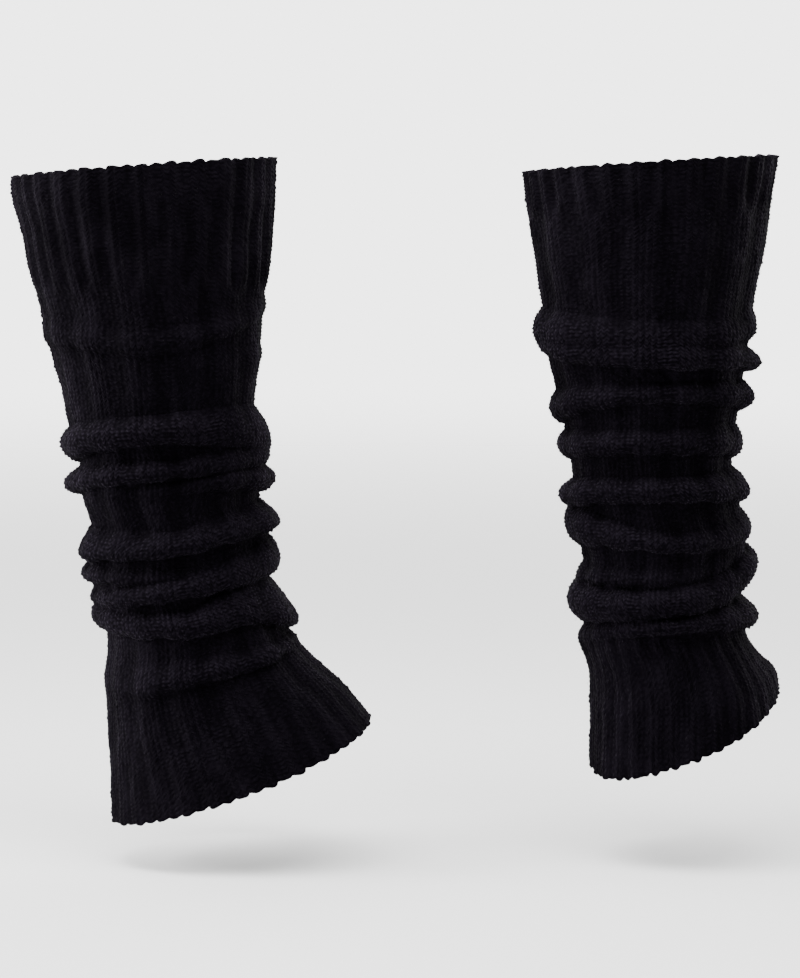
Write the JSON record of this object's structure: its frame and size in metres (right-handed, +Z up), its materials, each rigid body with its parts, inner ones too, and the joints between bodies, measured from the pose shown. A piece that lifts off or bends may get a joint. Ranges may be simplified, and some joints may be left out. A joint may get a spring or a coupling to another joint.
{
  "type": "pair of leg warmers",
  "caption": "Ribbed knit leg warmers in worn form: hollow tubes with a ribbed cuff at each end, scrunched into soft folds and flared over the foot.",
  "frame": {"origin": "middle of the left leg warmer's upper cuff, where the calf holds it, 22 mm below its top edge", "axes": "+X towards the toes and from the left warmer to the right one, +Y away from the front view, +Z up the legs"},
  "size_m": [0.4056, 0.116, 0.3505],
  "materials": {
    "rib_knit_cuff": "matte black brushed yarn, fine rib knit",
    "rib_knit_leg": "matte black brushed yarn, wide rib knit"
  },
  "bodies": {
    "root": {"left_top_cuff": "rib_knit_cuff", "left_leg": "rib_knit_leg", "left_bottom_cuff": "rib_knit_cuff", "right_top_cuff": "rib_knit_cuff", "right_leg": "rib_knit_leg", "right_bottom_cuff": "rib_knit_cuff"}
  },
  "joints": []
}
